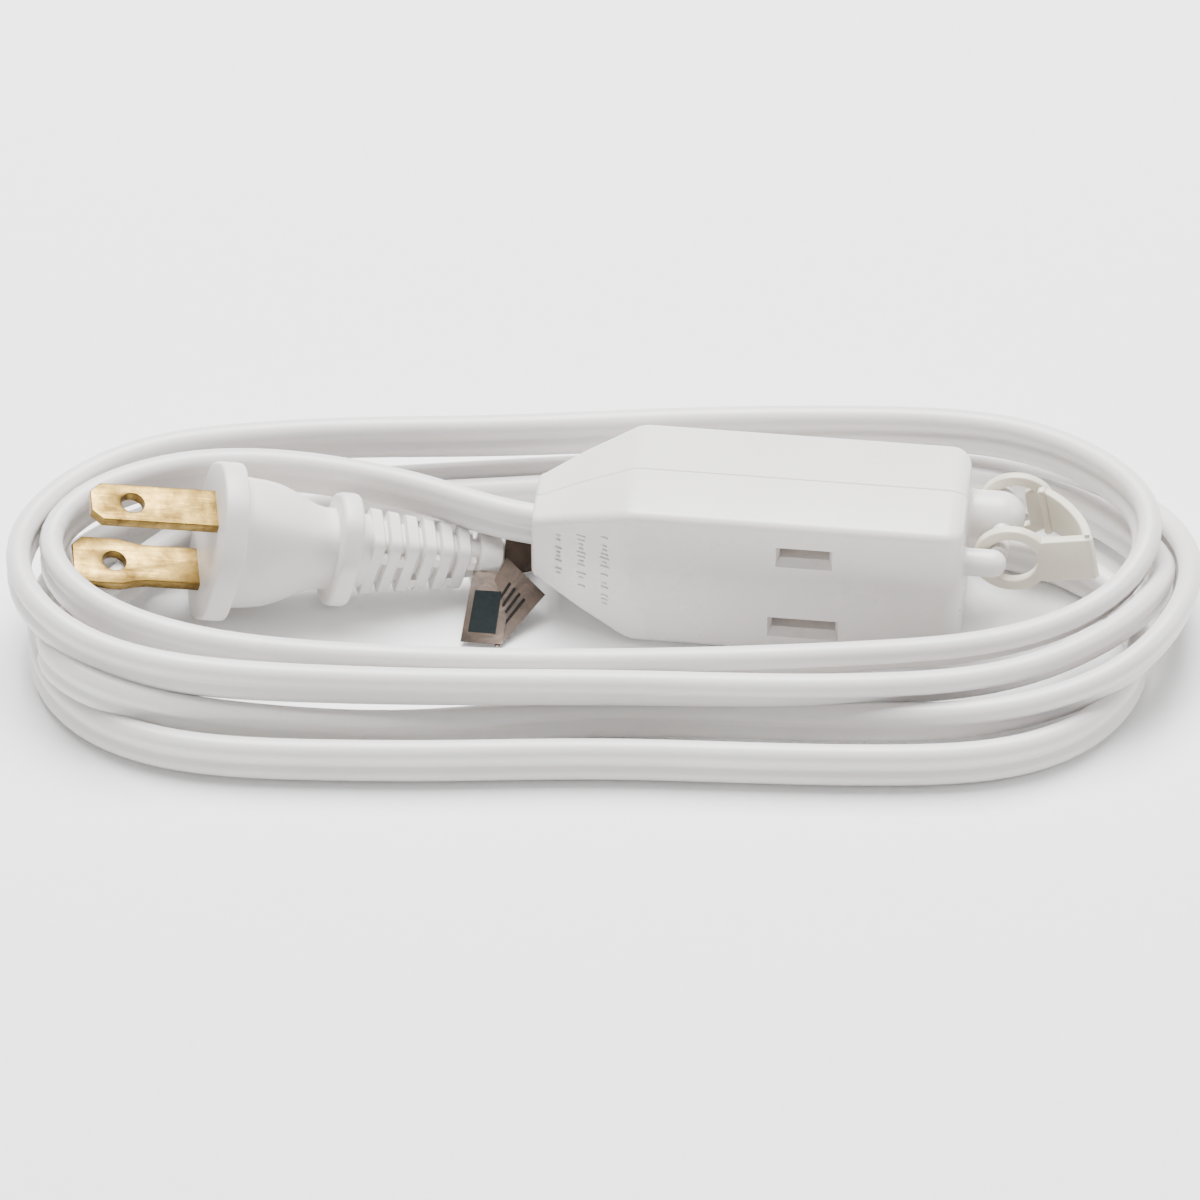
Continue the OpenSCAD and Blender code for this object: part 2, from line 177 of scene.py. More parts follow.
def cut(piece, cutters):
    """Takes the cutters' shapes, in millimetres, out of a piece."""
    tools = [join("cutter", [mesh]) for mesh in cutters]
    for tool in tools:
        modifier = piece.modifiers.new("cut", "BOOLEAN")
        modifier.object = tool
        modifier.solver = "EXACT"
    result = bpy.data.meshes.new_from_object(piece.evaluated_get(bpy.context.evaluated_depsgraph_get()))
    piece.modifiers.clear()
    piece.data = result
    result.name = piece.name
    result.polygons.foreach_set("use_smooth", [True] * len(result.polygons))
    result.set_sharp_from_angle(angle=math.radians(32))
    for tool in tools:
        bpy.data.objects.remove(tool)


def block(low, high):
    """A plain box between two corners, used as a cutter."""
    mesh = bmesh.new()
    bmesh.ops.create_cube(mesh, size=1)
    size = Vector(high) - Vector(low)
    middle = (Vector(high) + Vector(low)) / 2
    return moved(mesh, Matrix.Translation(middle) @ Matrix.Diagonal((*size, 1)))


# %% [markdown]
# ## Outlines and curves
# Arcs and rectangles with round corners make the outlines.  `smooth_line` runs a curve through given points.

# %% Outlines and curves
def arc(centre, radius, start, end, steps):
    """Points on an arc, angles in degrees."""
    angles = [math.radians(start + (end - start) * k / steps) for k in range(steps + 1)]
    return [(centre[0] + radius * math.cos(a), centre[1] + radius * math.sin(a)) for a in angles]


def smooth_line(points, per_gap):
    """A curve through given points, with per_gap places between each pair of neighbours."""
    ends = [points[0]] + list(points) + [points[-1]]
    line = []
    for a, b, c, d in zip(ends, ends[1:], ends[2:], ends[3:]):
        for k in range(per_gap):
            t = k / per_gap
            line.append([
                q + 0.5 * t * ((r - p) + t * ((2 * p - 5 * q + 4 * r - s) + t * (3 * q - p - 3 * r + s)))
                for p, q, r, s in zip(a, b, c, d)
            ])
    line.append(list(points[-1]))
    return line


def soft_box(width, height, corner, steps=5):
    """Outline of a rectangle with round corners, centred, as (y, z) pairs."""
    points = []
    for quarter, (sy, sz) in enumerate(((1, 1), (-1, 1), (-1, -1), (1, -1))):
        centre = (sy * (width / 2 - corner), sz * (height / 2 - corner))
        points += arc(centre, corner, 90 * quarter, 90 * quarter + 90, steps)
    return points


# %% [markdown]
# ## The cord's route
# The route is the same one that the CAD tubes follow: from the nose of the tap to the coil, and from
# the plug round behind the tap to the coil.  Those two stretches are lists of given points.  Each row
# here has a fourth number, the lean of the flat cord in degrees, because flat cord stands on its edge
# and tips a little outwards where the turns press on each other.

# %% Cord route outside the coil
LEAD_ROUTE = [
    (-38.8, 0, 11.6, 0), (-43, 0, 11.8, 0), (-48, 1.2, 12.4, 0), (-55, 2.8, 13.3, 0),
    (-63, 3.6, 14, 0), (-71, 3.8, 14.8, 0), (-79, 3.5, 15, 0), (-86, 2.4, 15, 0),
    (-92, 0, 15, 0), (-97.2, -3, 14.8, 0), (-102, -7, 14.2, 0), (-104.4, -12, 13.2, 0),
]
TAIL_ROUTE = [
    (-44, 0.1, 4.5, -14), (-42, 1.4, 3.8, -8), (-40.3, 4.2, 3.3, 0), (-38.6, 7.4, 3.3, 0),
    (-35.4, 10.3, 3.3, 0), (-30, 11.8, 3.3, 0), (-22, 12.3, 3.3, 0), (-12, 12.3, 3.3, 0),
    (-2, 12.3, 3.3, 0), (8, 12.3, 3.3, 0), (18, 12.2, 3.3, 0), (26, 11.4, 3.3, 0),
    (32.5, 9.2, 3.3, 0), (38, 6.2, 3.3, 0), (42, 2, 3.3, 0), (44.5, -3, 3.3, 0),
]
print("route points: lead", len(LEAD_ROUTE), "and tail", len(TAIL_ROUTE))

# %% [markdown]
# ## The four turns
# Each turn of the coil is described by the places it passes on its way round the oval, from its left
# front corner along the front, round the right end, back along the rear and round the left end.  The
# numbers are along the oval, across it, height and lean.  The oval lies a little askew of the tap.

# %% Coil
COIL_ASKEW = math.radians(6.3)
TURNS = [
    [(-104.6, -6.5, 13.4, 0), (-97.5, -15.3, 12.6, 0), (-82, -20.8, 11.2, 4), (-58, -23, 10.5, 8),
     (-29, -23.4, 10.5, 18), (2, -21.8, 10.5, 28), (24, -18.9, 10.5, 32), (38.5, -11.8, 11, 28),
     (45.2, -2, 12.4, 14), (44.4, 8, 12.8, 10), (34.5, 18.8, 12, 12), (20, 24.6, 11, 14),
     (-10, 25.2, 11, 12), (-43, 23.3, 11.2, 6), (-71, 21, 12.5, 0), (-92, 15.8, 14, 0),
     (-104, 7, 14, 0), (-109.2, -3.5, 14, 0)],
    [(-107, -15, 14.2, 0), (-98, -24.2, 13.8, 2), (-84, -26.2, 11.2, 5), (-58, -26.8, 10, 12),
     (-29, -27.1, 10, 18), (2, -27.2, 9.6, 26), (24, -24.4, 9.2, 30), (38.5, -17, 9.6, 26),
     (45.8, -8, 9.2, 12), (47.6, 2, 5.6, 6), (39, 14.6, 4.2, 0), (22, 21.8, 3.5, 0),
     (-10, 21.8, 3.5, 0), (-43, 18.7, 3.8, 0), (-68, 15.7, 4.6, 0), (-84, 11, 5, 0),
     (-94, 1, 5.4, 0), (-100.5, -9, 6.4, 0)],
    [(-105.8, -18.2, 8.9, 0), (-97.4, -26.8, 9, 2), (-84, -28, 5.4, 2), (-58, -28.6, 3.4, 0),
     (-29, -25.6, 3.4, 0), (2, -28, 4.6, 6), (24, -28.9, 6.4, 16), (40, -23.5, 8.6, 22),
     (48.6, -13, 10, 16), (51, 0, 8, 8), (46.8, 12.6, 5.2, 0), (36, 21, 3.8, 0),
     (20, 25.2, 3.4, 0), (-10, 25.4, 3.4, 0), (-43, 23, 3.4, 0), (-71, 20, 3.4, 0),
     (-92, 13.6, 3.6, 0), (-104.6, 2.5, 3.8, 0)],
    [(-106.4, -9, 3.6, 0), (-104.6, -19.3, 3.3, 0), (-97.2, -28, 3.3, 0), (-83.5, -33.1, 3.3, 0),
     (-58, -34.4, 3.3, 0), (-29, -34, 3.3, 0), (2, -35.2, 3.3, 0), (22, -34.6, 3.3, 0),
     (33.4, -30.5, 3.3, 0), (40.7, -23.1, 3.3, 0), (43.9, -14.5, 3.3, 0)],
]
print("coil:", len(TURNS), "turns through", sum(len(turn) for turn in TURNS), "places")

# %% [markdown]
# ## One line for the whole cord
# The three stretches are put end to end and a smooth curve is run through them.  Its places are then
# set a fixed distance apart, and each is averaged with its neighbours a few times, because a stiff
# cord has no sharp bends.

# %% Whole line
def askew(place):
    """A place of the coil, turned with the oval into the object's frame."""
    along, across, height, lean = place
    c, s = math.cos(COIL_ASKEW), math.sin(COIL_ASKEW)
    return (along * c - across * s, along * s + across * c, height, lean)


RELIEF_INSIDE = (-45.9, -0.4, 4.9, -14)
way_points = LEAD_ROUTE + [askew(p) for turn in TURNS for p in turn] + TAIL_ROUTE[::-1] + [RELIEF_INSIDE]
rough = smooth_line(way_points, 6)


def even(line, spacing):
    """The same line with its points a fixed distance apart."""
    result = [line[0]]
    left = spacing
    for a, b in zip(line, line[1:]):
        gap = math.dist(a[:3], b[:3])
        while left <= gap:
            t = left / gap
            result.append([p + (q - p) * t for p, q in zip(a, b)])
            left += spacing
        left -= gap
    return result + [line[-1]]


CORD_STEP = 2.5
SMOOTHINGS = 6
cord_line = even(rough, CORD_STEP)
for _ in range(SMOOTHINGS):
    inner = [
        [(p + 2 * q + r) / 4 for p, q, r in zip(a, b, c)]
        for a, b, c in zip(cord_line, cord_line[1:], cord_line[2:])
    ]
    cord_line = [cord_line[0]] + inner + [cord_line[-1]]

# %% [markdown]
# ## The cord's section
# Flat lamp cord is two insulated cores moulded side by side, so its section is a figure of eight with
# a shallow groove on both faces.  The outline is swept along the route.  Its long axis stands up,
# tipped by the lean.

# %% Cord
CORE_R = 1.65
CORE_OFF = 1.55
GROOVE = 1.0
section = (
    arc((0, CORE_OFF), CORE_R, -48, 228, 12) + [(-GROOVE, 0)]
    + arc((0, -CORE_OFF), CORE_R, 132, 408, 12) + [(GROOVE, 0)]
)


def cord_rings(line):
    """The section, stood up at each place of the line."""
    rings = []
    for i, place in enumerate(line):
        back = Vector(line[max(i - 1, 0)][:3])
        ahead = (Vector(line[min(i + 1, len(line) - 1)][:3]) - back).normalized()
        side = Vector((-ahead.y, ahead.x, 0)).normalized()
        up = ahead.cross(side)
        lean = math.radians(place[3])
        tall = up * math.cos(lean) - side * math.sin(lean)
        wide = side * math.cos(lean) + up * math.sin(lean)
        rings.append([Vector(place[:3]) + wide * a + tall * b for a, b in section])
    return rings


cord = join("flat_cord", [skin(cord_rings(cord_line))], sharp=60)
lengths = cord.data.uv_layers.new(name="along_and_round")
for face in cord.data.polygons:
    for corner in face.loop_indices:
        ring, point = divmod(cord.data.loops[corner].vertex_index, len(section))
        seam = face.index % len(section) == len(section) - 1 and point == 0
        lengths.data[corner].uv = (ring * CORD_STEP * MM, (1 if seam else point / len(section)) * 16 * MM)
print("cord mesh:", len(cord.data.polygons), "faces, section of", len(section), "points")

# %% [markdown]
# ## Colour and material helpers
# Colours are written as sRGB hex, as a paint program shows them, and one function turns them linear.
# One more adds a node with its settings and its links.  Texture coordinates are in metres, so a
# pattern of a given size in millimetres needs a scale of 1000 divided by that size.

# %% Material helpers
def linear(colour):
    """Linear RGBA from an sRGB hex colour."""
    parts = [int(colour[i : i + 2], 16) / 255 for i in (1, 3, 5)]
    return [c / 12.92 if c <= 0.04045 else ((c + 0.055) / 1.055) ** 2.4 for c in parts] + [1.0]


def add(tree, kind, settings=None, **inputs):
    """A node of that kind, with its settings, and its inputs as values or links; i3 is input number 3."""
    node = tree.nodes.new(kind)
    for name, value in (settings or {}).items():
        setattr(node, name, value)
    for name, value in inputs.items():
        numbered = name[0] == "i" and name[1:].isdigit()
        socket = node.inputs[int(name[1:]) if numbered else name.replace("_", " ")]
        if isinstance(value, bpy.types.NodeSocket):
            tree.links.new(value, socket)
        else:
            socket.default_value = value
    return node


def per(size_mm):
    """The texture scale that makes a pattern of that size in millimetres."""
    return 1000 / size_mm


def start(name, **shader):
    """A new material with one principled shader, and its node tree."""
    material = bpy.data.materials.new(name)
    material.use_nodes = True
    tree = material.node_tree
    tree.nodes.clear()
    surface = add(tree, "ShaderNodeBsdfPrincipled", **shader)
    add(tree, "ShaderNodeOutputMaterial", Surface=surface.outputs[0])
    place = add(tree, "ShaderNodeTexCoord")
    return material, tree, surface, place


def two_tone(tree, factor, low, high, first, second):
    """A colour that runs from first to second as a factor goes from low to high."""
    ramp = add(tree, "ShaderNodeValToRGB", i0=factor)
    ramp.color_ramp.elements[0].position = low
    ramp.color_ramp.elements[0].color = linear(first)
    ramp.color_ramp.elements[1].position = high
    ramp.color_ramp.elements[1].color = linear(second)
    return ramp.outputs[0]


# %% [markdown]
# ## Moulded plastic
# Every moulding shares one recipe.  Its colour drifts over some millimetres, its gloss is uneven, it
# carries the grain of its mould, and a little light sinks in.

# %% Moulded plastic
def moulded_plastic(name, colour, shade, roughness, ior, patch, grain, grain_depth, glow=0.0, glow_mm=1.0):
    """A moulded thermoplastic: slight colour drift, uneven gloss and the grain of the mould, in mm."""
    material, tree, surface, place = start(name, Metallic=0.0, IOR=ior)
    where = place.outputs["Object"]
    drift = add(tree, "ShaderNodeTexNoise", Vector=where, Scale=per(patch), Detail=3.0)
    tree.links.new(two_tone(tree, drift.outputs[0], 0.3, 0.75, colour, shade), surface.inputs["Base Color"])
    smear = add(tree, "ShaderNodeTexNoise", Vector=where, Scale=per(patch / 4), Detail=5.0)
    gloss = add(tree, "ShaderNodeMapRange", i0=smear.outputs[0], i3=roughness - 0.05, i4=roughness + 0.08)
    tree.links.new(gloss.outputs[0], surface.inputs["Roughness"])
    fine = add(tree, "ShaderNodeTexNoise", Vector=where, Scale=per(grain), Detail=2.0)
    bump = add(tree, "ShaderNodeBump", Height=fine.outputs[0], Strength=0.35, Distance=grain_depth * MM)
    tree.links.new(bump.outputs[0], surface.inputs["Normal"])
    surface.inputs["Subsurface Weight"].default_value = glow
    surface.inputs["Subsurface Radius"].default_value = (1.0, 0.8, 0.6)
    surface.inputs["Subsurface Scale"].default_value = glow_mm * MM
    return material


# %% [markdown]
# ## The plastics of this cord
# Four white plastics meet on this object and each has its own look.  The tap is polypropylene from a
# polished mould: the glossiest, with a faint warm depth because light sinks in a little.  The plug
# and the cord are soft PVC.  The plug was moulded in a finely grained tool and the cord was drawn
# through a die, so its faint lines run along it.  The strap is polyethylene, which is naturally
# ivory and waxy.

# %% Plastics
# polypropylene from a polished mould
polypropylene = moulded_plastic(
    "polypropylene_polished", "#e6e2e0", "#ddd8d5", roughness=0.27, ior=1.49,
    patch=26, grain=0.9, grain_depth=0.006, glow=0.12, glow_mm=1.2,
)
# plasticised PVC from a finely grained mould
plug_pvc = moulded_plastic(
    "soft_pvc_moulded", "#e4e0dd", "#dad5d1", roughness=0.4, ior=1.53,
    patch=14, grain=0.45, grain_depth=0.012, glow=0.08, glow_mm=0.8,
)
# low-density polyethylene without pigment
polyethylene = moulded_plastic(
    "polyethylene_natural", "#e0dac9", "#d6cfbc", roughness=0.33, ior=1.51,
    patch=9, grain=0.7, grain_depth=0.008, glow=0.18, glow_mm=1.0,
)
# hard moulding resin of the bridge and the cord grip
bridge_resin = moulded_plastic(
    "phenolic_resin", "#c9c8c4", "#b9b7b2", roughness=0.5, ior=1.6, patch=6, grain=0.4, grain_depth=0.01,
)


def drawn_pvc():
    """Extruded PVC: die lines along the cord, a little handling dirt and an uneven satin gloss."""
    material, tree, surface, place = start("soft_pvc_extruded", Metallic=0.0, IOR=1.53)
    where = place.outputs["Object"]
    drift = add(tree, "ShaderNodeTexNoise", Vector=where, Scale=per(30), Detail=2.0)
    clean = two_tone(tree, drift.outputs[0], 0.3, 0.7, "#e5e2e0", "#dcd8d6")
    dirt = add(tree, "ShaderNodeTexNoise", Vector=where, Scale=per(2.2), Detail=6.0, Roughness=0.65)
    rub = add(tree, "ShaderNodeMapRange", i0=dirt.outputs[0], i1=0.62, i2=0.8, i3=0.0, i4=0.35)
    soiled = linear("#c4bdb6")
    tint = add(tree, "ShaderNodeMix", {"data_type": "RGBA"}, i0=rub.outputs[0], i6=clean, i7=soiled)
    tree.links.new(tint.outputs[2], surface.inputs["Base Color"])
    smear = add(tree, "ShaderNodeTexNoise", Vector=where, Scale=per(7), Detail=4.0)
    gloss = add(tree, "ShaderNodeMapRange", i0=smear.outputs[0], i3=0.28, i4=0.44)
    tree.links.new(gloss.outputs[0], surface.inputs["Roughness"])
    # die lines: long along the cord, 0.5 mm apart around it, a hundredth of a millimetre deep
    stretch = add(tree, "ShaderNodeMapping", Vector=place.outputs["UV"], Scale=(per(60), per(0.5), 1.0))
    lines = add(tree, "ShaderNodeTexNoise", Vector=stretch.outputs[0], Scale=1.0, Detail=3.0)
    bump = add(tree, "ShaderNodeBump", Height=lines.outputs[0], Strength=0.5, Distance=0.012 * MM)
    tree.links.new(bump.outputs[0], surface.inputs["Normal"])
    surface.inputs["Subsurface Weight"].default_value = 0.08
    surface.inputs["Subsurface Scale"].default_value = 0.8 * MM
    return material


cord_pvc = drawn_pvc()
print("plastics:", [m.name for m in (polypropylene, plug_pvc, polyethylene, bridge_resin, cord_pvc)])

# %% [markdown]
# ## Metals
# The blades are stamped from brass strip.  Handling and plugging in have left them bright on the high
# places, browner in between and covered in fine scratches that run along the blade.  The contacts
# inside the tap are spring brass that nobody touches, so they are even.  The strands are bare copper.

# %% Metals
def brass(name, bright, dull, wear, scratch):
    """Brass with tarnish in patches wear mm wide and scratches scratch mm apart along x."""
    material, tree, surface, place = start(name, Metallic=1.0)
    where = place.outputs["Object"]
    patches = add(tree, "ShaderNodeTexNoise", Vector=where, Scale=per(wear), Detail=7.0, Roughness=0.62)
    tone = two_tone(tree, patches.outputs[0], 0.34, 0.68, bright, dull)
    tree.links.new(tone, surface.inputs["Base Color"])
    drawn = add(tree, "ShaderNodeMapping", Vector=where, Scale=(per(9), per(scratch), per(scratch)))
    lines = add(tree, "ShaderNodeTexNoise", Vector=drawn.outputs[0], Scale=1.0, Detail=4.0)
    rough = add(tree, "ShaderNodeMath", {"operation": "MULTIPLY"}, i0=lines.outputs[0], i1=patches.outputs[0])
    gloss = add(tree, "ShaderNodeMapRange", i0=rough.outputs[0], i1=0.1, i2=0.45, i3=0.2, i4=0.5)
    tree.links.new(gloss.outputs[0], surface.inputs["Roughness"])
    bump = add(tree, "ShaderNodeBump", Height=lines.outputs[0], Strength=0.4, Distance=0.02 * MM)
    tree.links.new(bump.outputs[0], surface.inputs["Normal"])
    return material


blade_brass = brass("brass_strip_worn", "#9c8148", "#5c4722", 3.2, 0.25)
contact_brass = brass("spring_brass", "#cba655", "#b28c3f", 6, 0.3)


WAVE_RADIANS = 20  # the wave texture runs through this many radians in one unit


def bare_copper():
    """Bunched copper: fine strands twisted round each other, with painted shade in the grooves between them.
    """
    material, tree, surface, place = start("copper_bunched", Metallic=1.0, Roughness=0.35)
    where = place.outputs["Object"]
    # bands laid aslant, two pi times 0.25 mm apart: groups of strands rather than single ones
    lay = add(tree, "ShaderNodeMapping", Vector=where, Rotation=(0.5, 0.4, 0.6))
    fineness = per(0.25) / WAVE_RADIANS
    strands = add(tree, "ShaderNodeTexWave", Vector=lay.outputs[0], Scale=fineness, Distortion=1.0)
    # painted shade: the copper is coloured darker in the grooves between the strand bands
    tone = two_tone(tree, strands.outputs[0], 0.2, 0.8, "#8a4a2c", "#d98f68")
    tree.links.new(tone, surface.inputs["Base Color"])
    bump = add(tree, "ShaderNodeBump", Height=strands.outputs[0], Strength=0.8, Distance=0.08 * MM)
    tree.links.new(bump.outputs[0], surface.inputs["Normal"])
    return material


copper = bare_copper()
print("metals:", [m.name for m in (blade_brass, contact_brass, copper)])

# %% [markdown]
# ## Label film
# The tag on the cord is polyester film with a bronze metallised face, creased where it was folded
# over the cord.  A plain dark patch and a few short bars stand in for its print.

# %% Film
def metallised_film():
    """Bronze polyester film: a soft metallic face with creases and rubbed spots."""
    material, tree, surface, place = start("polyester_film_bronze", Metallic=0.55, IOR=1.6)
    where = place.outputs["Object"]
    crease = add(tree, "ShaderNodeTexNoise", Vector=where, Scale=per(3.5), Detail=5.0, Distortion=0.8)
    tone = two_tone(tree, crease.outputs[0], 0.3, 0.72, "#54453a", "#2d241c")
    tree.links.new(tone, surface.inputs["Base Color"])
    gloss = add(tree, "ShaderNodeMapRange", i0=crease.outputs[0], i3=0.25, i4=0.5)
    tree.links.new(gloss.outputs[0], surface.inputs["Roughness"])
    bump = add(tree, "ShaderNodeBump", Height=crease.outputs[0], Strength=0.6, Distance=0.15 * MM)
    tree.links.new(bump.outputs[0], surface.inputs["Normal"])
    return material


def printed_ink(name, colour, shade):
    """Matt screen ink: its pinholes break up most of the gloss, so the specular level is low."""
    material, tree, surface, place = start(
        name, Metallic=0.0, IOR=1.5, Roughness=0.75, Specular_IOR_Level=0.2,
    )
    holes = add(tree, "ShaderNodeTexNoise", Vector=place.outputs["Object"], Scale=per(0.6), Detail=4.0)
    tree.links.new(two_tone(tree, holes.outputs[0], 0.35, 0.8, colour, shade), surface.inputs["Base Color"])
    bump = add(tree, "ShaderNodeBump", Height=holes.outputs[0], Strength=0.3, Distance=0.02 * MM)
    tree.links.new(bump.outputs[0], surface.inputs["Normal"])
    return material


film = metallised_film()
patch_ink = printed_ink("screen_ink_green", "#081112", "#0d191b")
bar_ink = printed_ink("screen_ink_black", "#0e0c0a", "#1a1714")
print("label:", [m.name for m in (film, patch_ink, bar_ink)])


def dress(piece, material, body="root"):
    """Gives a new piece its material and the body that it rides on."""
    piece.data.materials.clear()
    piece.data.materials.append(material)
    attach(piece, body)
    return piece


dress(cord, cord_pvc)

# %% [markdown]
# ## The two halves of the tap
# The tap is two moulded shells that meet in the middle.  Each is drawn as a row of sections along x:
# a tapered nose, the straight block, and a rounded end.  Sections carry the soft radius of the long
# edges.  A tiny chamfer where the halves meet gives the parting line that shows on the real one.

# %% Tap sizes
front_low, front_high = [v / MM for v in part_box("front_shell")]
LUG_REACH = 5.8
nose_x = front_low.x
end_x = front_high.x - LUG_REACH
depth = -front_low.y
top_z = front_high.z
mid_z = top_z / 2
NOSE_L = 13.8
NOSE_DEPTH = 5.3
NOSE_HEIGHT = 5.5
shoulder_x = nose_x + NOSE_L
EDGE = 1.3
END_EDGE = 2.7
PARTING = 0.14
print("tap from", nose_x, "to", end_x, "depth", depth, "top", top_z)

# %% [markdown]
# ## Sections of the tap
# The sections run from the mouth of the nose to the strap end.  They grow along the nose, bend into
# the block over a short curve, and shrink again over the last few millimetres to round the end.

# %% Sections of the tap
NOSE_EDGE = 0.9


def half_section(x, deep, high, edge):
    """Half of the tap's section, on the side of negative y, with its parting edges broken."""
    corner_top = arc((-deep + edge, high - edge), edge, 90, 180, 6)
    corner_low = arc((-deep + edge, -high + edge), edge, 180, 270, 6)
    outline = [(0, high - PARTING), (-PARTING, high)] + corner_top + corner_low
    outline += [(-PARTING, -high), (0, -high + PARTING)]
    return [(x, y, mid_z + z) for y, z in outline]


def tap_sections():
    """Sections from the nose to the end, with the end edges rounded by shrinking the section."""
    rows = []
    for k in range(5):
        angle = math.radians(22.5 * k)
        inset = NOSE_EDGE * (1 - math.sin(angle))
        x = nose_x + NOSE_EDGE * (1 - math.cos(angle))
        rows.append((x, NOSE_DEPTH - inset, NOSE_HEIGHT - inset, 1.2))
    # the nose bends into the block over a short curve
    for t in (0.45, 0.9, 0.96):
        deep = NOSE_DEPTH + (depth - NOSE_DEPTH) * t
        high = NOSE_HEIGHT + (mid_z - NOSE_HEIGHT) * t
        rows.append((nose_x + NOSE_L * t, deep, high, EDGE))
    rows.append((shoulder_x + 0.35, depth - 0.05, mid_z - 0.05, EDGE))
    rows.append((shoulder_x + 1.1, depth, mid_z, EDGE))
    rows.append(((shoulder_x + end_x) / 2, depth, mid_z, EDGE))
    for k in range(8):
        angle = math.radians(90 * k / 7)
        x = end_x - END_EDGE * (1 - math.sin(angle))
        shrink = 1 - math.cos(angle)
        rows.append((x, depth - END_EDGE * shrink, mid_z - 1.5 * shrink, EDGE))
    return rows


def tap_half(name):
    """One solid half of the tap, drawn on the side of negative y."""
    return join(name, [skin([half_section(*row) for row in tap_sections()])])


# %% [markdown]
# ## Outlets
# A polarised outlet has a narrow slot for the live blade and a wider one for the neutral blade, 12.7
# mm apart.  Each slot sits in a shallow bevelled recess that guides the blade.  Inside, the shells are
# hollow, so the contact clips of the CAD model can be seen through the slots.

# %% Outlets
SLOT_GAP = 12.7
SLOT_HIGH = 2.3
LIVE_SLOT = 6.8
NEUTRAL_SLOT = 8.8
RECESS = 1.1
WALL = 2.0
FRONT_WALL = 2.9
outlet_x = (shoulder_x + end_x) / 2 + 1.3
REAR_STAGGER = 12.5


def slot_cutters(x, z, length):
    """The slot itself and its bevelled recess, deeper on its lower side, for a face at y = -depth."""
    low_x, high_x = x - length / 2, x + length / 2
    through = block(
        (low_x, -depth - 1, z - SLOT_HIGH / 2), (high_x, -depth + FRONT_WALL + 1, z + SLOT_HIGH / 2),
    )
    rings = []
    for y, wider, lower, higher in ((-depth - 0.2, 0.55, 1.1, 0.25), (-depth + RECESS, 0.0, 0.0, 0.0)):
        left, right = low_x - wider, high_x + wider
        floor_z, roof_z = z - SLOT_HIGH / 2 - lower, z + SLOT_HIGH / 2 + higher
        rings.append([(left, y, floor_z), (right, y, floor_z), (right, y, roof_z), (left, y, roof_z)])
    return [through, skin(rings)]


def hollow():
    """The room inside one half, for the contacts and for the cord in the nose."""
    room = block((shoulder_x + 1, -depth + FRONT_WALL, WALL), (end_x - WALL, 1, top_z - WALL))
    throat = block((nose_x + 5, -2.6, mid_z - 3.6), (shoulder_x + 2, 1, mid_z + 3.6))
    cord_hole = block((nose_x - 1, -1.75, mid_z - 3.3), (nose_x + 6, 1, mid_z + 3.3))
    return [room, throat, cord_hole]


front_half = tap_half("tap_front_half")
cut(front_half, hollow() + slot_cutters(outlet_x, mid_z + SLOT_GAP / 2, LIVE_SLOT)
    + slot_cutters(outlet_x, mid_z - SLOT_GAP / 2, NEUTRAL_SLOT))

back_half = tap_half("tap_back_half")
rear_cutters = []
for rear_x in (outlet_x - REAR_STAGGER, outlet_x + REAR_STAGGER):
    rear_cutters += slot_cutters(rear_x, mid_z + SLOT_GAP / 2, LIVE_SLOT)
    rear_cutters += slot_cutters(rear_x, mid_z - SLOT_GAP / 2, NEUTRAL_SLOT)
cut(back_half, hollow() + rear_cutters)
back_half.data.transform(Matrix.Diagonal((1, -1, 1, 1)))
back_half.data.flip_normals()
print("tap halves:", len(front_half.data.polygons), "and", len(back_half.data.polygons), "faces")

# %% [markdown]
# ## The lugs and the pivot pin
# At the end of the tap stands a thin round lug in front and a stout dome behind it.  A pin joins them
# and carries the strap.  All three are turned shapes, and the lugs have a small fillet where they
# leave the block.

# %% Lugs and pin
PIVOT = Vector((end_x + 4.6, 0, mid_z + 3.4))
LUG_Y, LUG_R = -5.0, 1.9
DOME_Y, DOME_R, DOME_REACH = 4.7, 3.55, 7.7
PIN_R = 1.3


def stub(reach, radius, fillet):
    """A round stub along x with a fillet at its root and a domed end."""
    profile = [(-0.6, radius + fillet), (0.0, radius + fillet)]
    profile += [(fillet * (1 - math.cos(a)), radius + fillet * (1 - math.sin(a)))
                for a in (math.radians(18 * k) for k in range(1, 6))]
    tip = reach - radius
    profile += [(tip + radius * math.sin(a), max(radius * math.cos(a), 0.02))
                for a in (math.radians(9 * k) for k in range(11))]
    return lathe(profile, 48)


lug = moved(stub(LUG_REACH, LUG_R, 0.5), Matrix.Translation((end_x, LUG_Y, PIVOT.z)))
dome = moved(stub(DOME_REACH, DOME_R, 0.7), Matrix.Translation((end_x, DOME_Y, PIVOT.z)))
pin_start, pin_end = LUG_Y + LUG_R - 0.2, depth - 0.1
pin_profile = [(pin_start, PIN_R), (1.0, PIN_R), (1.5, PIN_R + 0.3), (8.0, PIN_R + 0.2), (8.3, PIN_R)]
pin_profile += [(pin_end - 0.3, PIN_R), (pin_end, PIN_R - 0.3)]
along_y = Matrix.Rotation(math.pi / 2, 4, "Z")
pin = moved(lathe(pin_profile, 32), Matrix.Translation((PIVOT.x, 0, PIVOT.z)) @ along_y)
print("pivot pin at x", round(PIVOT.x, 2), "z", round(PIVOT.z, 2), "mm, radius", PIN_R)

# %% [markdown]
# ## Marks on the nose
# Lettering is cut into a mould, so it stands proud of the plastic.  Three columns of short raised
# strokes of uneven width stand in for it here, on the slope of the nose's front face.

